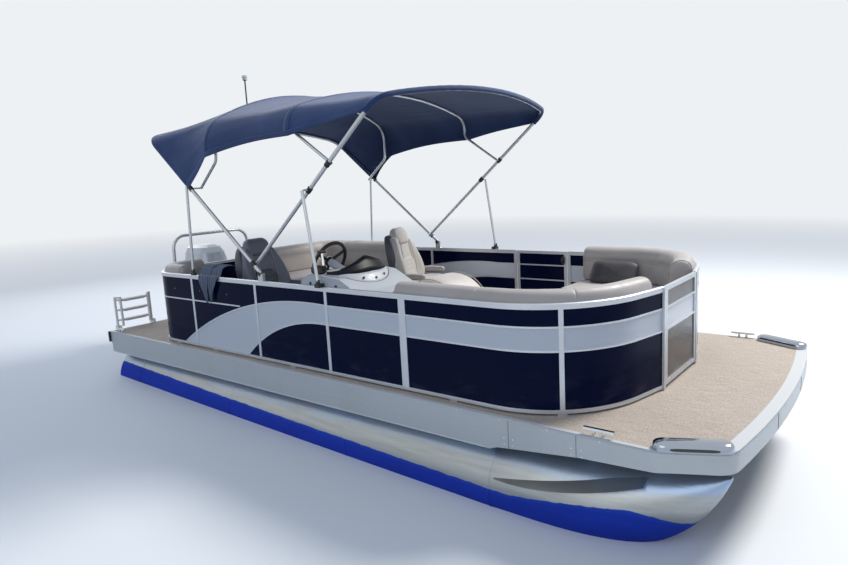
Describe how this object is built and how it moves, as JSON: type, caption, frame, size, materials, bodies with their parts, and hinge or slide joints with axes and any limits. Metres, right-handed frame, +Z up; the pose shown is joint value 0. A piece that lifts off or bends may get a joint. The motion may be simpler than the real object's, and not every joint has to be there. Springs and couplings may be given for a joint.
{
  "type": "pontoon boat",
  "caption": "Twin-tube pontoon boat with fenced deck, lounges, helm console and swivel chairs, folding bimini top and tilting outboard motor, afloat.",
  "frame": {"origin": "amidships on the centreline at the waterline", "axes": "+X towards the bow, +Y to port, +Z up"},
  "size_m": [6.6368, 2.6486, 3.726],
  "materials": {
    "bare_aluminium": "satin",
    "satin_aluminium": "satin",
    "plywood": "matt",
    "woven_vinyl": "woven",
    "navy_panel": "gloss",
    "light_panel": "gloss",
    "console_plastic": "gloss",
    "tinted_acrylic": "tinted",
    "black_rubber": "satin",
    "grey_vinyl": "satin",
    "light_vinyl": "satin",
    "lounge_plastic": "matt",
    "navy_canvas": "woven",
    "anodised_tube": "satin",
    "white_plastic": "gloss",
    "black_plastic": "matt",
    "polished_steel": "polished",
    "engine_black": "gloss",
    "engine_metal": "cast",
    "bright_chrome": "polished"
  },
  "bodies": {
    "boat": {"back_cushion_aft": "light_vinyl", "back_cushion_corner": "light_vinyl", "back_cushion_port": "light_vinyl", "back_cushion_starboard": "light_vinyl", "bimini_aft_bow": "anodised_tube", "bimini_aft_struts": "anodised_tube", "bimini_canopy": "navy_canvas", "bimini_mounts": "black_plastic", "companion_chair_pedestal": "satin_aluminium", "corner_castings": "bright_chrome", "cross_members": "bare_aluminium", "deck_cleats": "polished_steel", "deck_edge": "satin_aluminium", "deck_panel": "plywood", "fence_band": "light_panel", "fence_frame_port": "satin_aluminium", "fence_frame_starboard": "satin_aluminium", "fence_panels": "navy_panel", "helm_chair_pedestal": "satin_aluminium", "helm_console": "console_plastic", "ladder_brackets": "polished_steel", "light_pole": "white_plastic", "lounge_base_aft": "lounge_plastic", "lounge_base_corner": "lounge_plastic", "lounge_base_port": "lounge_plastic", "lounge_base_starboard": "lounge_plastic", "motor_pod": "bare_aluminium", "outboard_clamp": "engine_black", "pontoon_port": "bare_aluminium", "pontoon_starboard": "bare_aluminium", "seat_cushion_aft": "light_vinyl", "seat_cushion_corner": "light_vinyl", "seat_cushion_port": "light_vinyl", "seat_cushion_starboard": "light_vinyl", "stern_bumpers": "black_rubber", "tow_bar": "anodised_tube", "windscreen": "tinted_acrylic", "woven_floor": "woven_vinyl"},
    "steering_wheel": {"steering_wheel": "black_rubber"},
    "helm_chair": {"helm_chair_shell": "grey_vinyl", "helm_chair_cushion": "light_vinyl"},
    "companion_chair": {"companion_chair_shell": "grey_vinyl", "companion_chair_cushion": "light_vinyl"},
    "bow_gate": {"bow_gate_frame": "satin_aluminium", "bow_gate_panel": "navy_panel"},
    "side_gate": {"side_gate_frame": "satin_aluminium", "side_gate_panel": "navy_panel"},
    "stern_gate": {"stern_gate_frame": "satin_aluminium", "stern_gate_panel": "navy_panel"},
    "front_bow": {"bimini_front_bow": "anodised_tube"},
    "second_bow": {"bimini_second_bow": "anodised_tube"},
    "third_bow": {"bimini_third_bow": "anodised_tube"},
    "front_struts": {"bimini_front_struts": "anodised_tube"},
    "ladder_upper": {"ladder_upper": "polished_steel"},
    "ladder_lower": {"ladder_lower": "polished_steel"},
    "outboard_swivel": {"outboard_swivel": "engine_black"},
    "outboard": {"outboard_leg": "engine_black", "outboard_cowl": "engine_black", "engine_block": "engine_metal"},
    "propeller": {"propeller": "polished_steel"}
  },
  "joints": [
    {"name": "wheel_turn", "type": "hinge", "parent": "boat", "child": "steering_wheel", "pos_m": [-0.17, -0.76, 1.405], "axis": [-0.9063, 0, 0.4226], "range_deg": [-540, 540]},
    {"name": "helm_chair_swivel", "type": "hinge", "parent": "boat", "child": "helm_chair", "pos_m": [-1.13, -0.6, 0.9], "axis": [0, 0, 1], "range_deg": [-180, 180]},
    {"name": "companion_chair_swivel", "type": "hinge", "parent": "boat", "child": "companion_chair", "pos_m": [-0.32, 0.61, 0.9], "axis": [0, 0, 1], "range_deg": [-180, 180]},
    {"name": "bow_gate_swing", "type": "hinge", "parent": "boat", "child": "bow_gate", "pos_m": [2.444, 0.322, 0.63], "axis": [0, 0, -1], "range_deg": [0, 90]},
    {"name": "side_gate_swing", "type": "hinge", "parent": "boat", "child": "side_gate", "pos_m": [0.486, 1.1855, 0.63], "axis": [0, 0, -1], "range_deg": [0, 90]},
    {"name": "stern_gate_swing", "type": "hinge", "parent": "boat", "child": "stern_gate", "pos_m": [-2.286, -0.016, 0.63], "axis": [0, 0, 1], "range_deg": [0, 90]},
    {"name": "bimini_fold", "type": "hinge", "parent": "boat", "child": "front_bow", "pos_m": [-0.61198, 0, 1.42391], "axis": [0, -1, 0], "range_deg": [0, 99], "deforming": ["bimini_canopy"]},
    {"name": "second_bow_fold", "type": "hinge", "parent": "boat", "child": "second_bow", "pos_m": [-1.41956, 0, 2.07284], "axis": [0, -1, 0], "range_deg": [0, 66.1]},
    {"name": "third_bow_fold", "type": "hinge", "parent": "front_bow", "child": "third_bow", "pos_m": [0.33298, 0, 2.19239], "axis": [0, -1, 0], "range_deg": [-86.1, 0]},
    {"name": "front_strut_fold", "type": "hinge", "parent": "front_bow", "child": "front_struts", "pos_m": [0.10954, 0, 2.01068], "axis": [0, -1, 0], "range_deg": [-58.1, 0]},
    {"name": "ladder_swing", "type": "hinge", "parent": "boat", "child": "ladder_upper", "pos_m": [-3.18, -0.995, 0.634], "axis": [0, -1, 0], "range_deg": [0, 175]},
    {"name": "ladder_unfold", "type": "hinge", "parent": "ladder_upper", "child": "ladder_lower", "pos_m": [-3.158, -0.995, 0.944], "axis": [0, -1, 0], "range_deg": [0, 178]},
    {"name": "outboard_tilt", "type": "hinge", "parent": "boat", "child": "outboard_swivel", "pos_m": [-2.99, 0, 0.65], "axis": [0, 1, 0], "range_deg": [0, 60]},
    {"name": "outboard_steer", "type": "hinge", "parent": "outboard_swivel", "child": "outboard", "pos_m": [-3.064, 0, 0.65], "axis": [0, 0, 1], "range_deg": [-35, 35]},
    {"name": "propeller_spin", "type": "hinge", "parent": "outboard", "child": "propeller", "pos_m": [-3.366, 0, -0.26], "axis": [1, 0, 0], "continuous": true}
  ],
  "couplings": [
    {"joint": "second_bow_fold", "follows": "bimini_fold", "ratio": 0.667},
    {"joint": "third_bow_fold", "follows": "bimini_fold", "ratio": -0.869},
    {"joint": "front_strut_fold", "follows": "bimini_fold", "ratio": -0.586}
  ]
}
